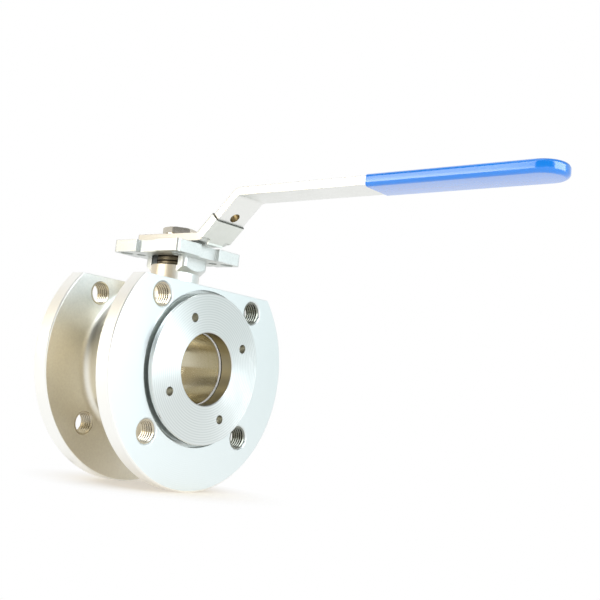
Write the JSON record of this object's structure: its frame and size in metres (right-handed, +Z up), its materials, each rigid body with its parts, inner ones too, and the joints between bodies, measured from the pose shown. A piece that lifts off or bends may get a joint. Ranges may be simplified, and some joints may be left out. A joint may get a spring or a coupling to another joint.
{
  "type": "flanged ball valve",
  "caption": "Compact stainless flanged ball valve with screwed seat insert, actuator pad, cranked lever with vinyl grip and sliding lock; the lever turns a quarter to close.",
  "frame": {"origin": "centre of the ball, where the flow axis and the stem axis cross", "axes": "+X along the flow towards the screwed insert, which is also where the open lever points; +Z up the stem; +Y to the right of the flow seen from behind the lever"},
  "size_m": [0.3283, 0.165, 0.2071],
  "materials": {
    "cast_stainless": "shot-blasted casting with turned faces",
    "turned_stainless": "fine turned, satin",
    "sheet_stainless": "rolled sheet and bar, satin",
    "bright_stainless": "ground and polished",
    "dark_steel": "oiled spring steel, dark",
    "ptfe": "smooth, waxy",
    "graphite": "pressed graphite",
    "rubber": "moulded elastomer",
    "blue_vinyl": "dipped vinyl, glossy"
  },
  "bodies": {
    "valve_body": {"body": "cast_stainless", "seat_insert": "turned_stainless", "insert_gasket": "ptfe", "front_seat": "ptfe", "rear_seat": "ptfe", "thrust_washer": "ptfe", "packing_rings": "graphite", "packing_adapters": "ptfe", "gland": "dark_steel", "stop_pin": "bright_stainless"},
    "stem_and_lever": {"ball": "bright_stainless", "stem": "bright_stainless", "stem_o_ring": "rubber", "disc_springs": "dark_steel", "gland_nut": "bright_stainless", "tab_washer": "bright_stainless", "antistatic_balls": "bright_stainless", "antistatic_springs": "bright_stainless", "stop_plate": "bright_stainless", "lever": "sheet_stainless", "handle_washer": "bright_stainless", "handle_nut": "bright_stainless", "grip_sleeve": "blue_vinyl"},
    "lock": {"slide_lock": "sheet_stainless"}
  },
  "joints": [
    {"name": "stem_turn", "type": "hinge", "parent": "valve_body", "child": "stem_and_lever", "pos_m": [0, 0, 0], "axis": [0, 0, 1], "range_deg": [-90, 0]},
    {"name": "lock_slide", "type": "slide", "parent": "stem_and_lever", "child": "lock", "axis": [0.7071, 0, 0.7071], "range_m": [-0.005, 0.008]}
  ]
}
